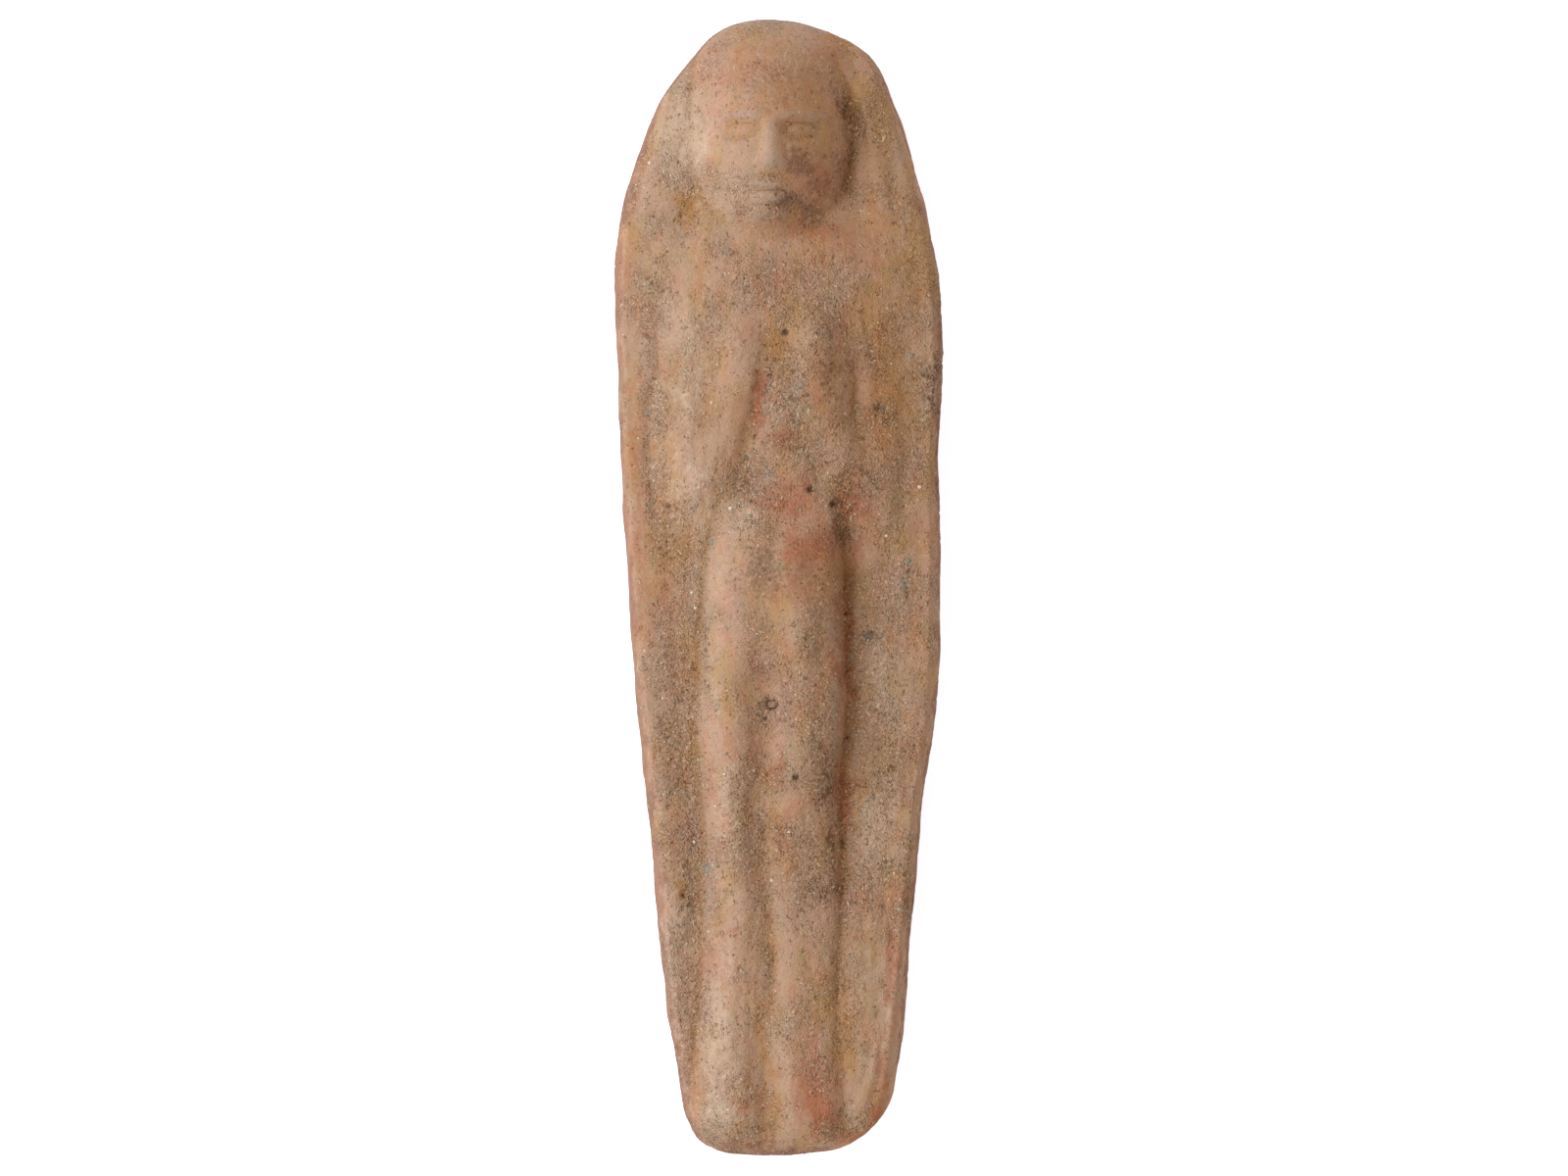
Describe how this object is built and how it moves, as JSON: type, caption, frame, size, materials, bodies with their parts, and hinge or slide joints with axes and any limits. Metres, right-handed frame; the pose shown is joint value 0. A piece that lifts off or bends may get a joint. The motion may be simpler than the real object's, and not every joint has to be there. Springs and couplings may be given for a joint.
{
  "type": "terracotta idol figurine",
  "caption": "Mould-pressed clay plaque of a standing veiled woman in low relief, hands held up to the chest, with a flat hand-smoothed back.",
  "frame": {"origin": "on the flat back, under the middle of the outline", "axes": "+X across the figure towards its own left hand, +Y from the feet to the crown of the head, +Z out of the relief, away from the back it lies on"},
  "size_m": [0.0434, 0.15, 0.0231],
  "materials": {
    "fired_clay": "unglazed, matt and worn"
  },
  "bodies": {
    "root": {"figurine": "fired_clay"}
  },
  "joints": []
}
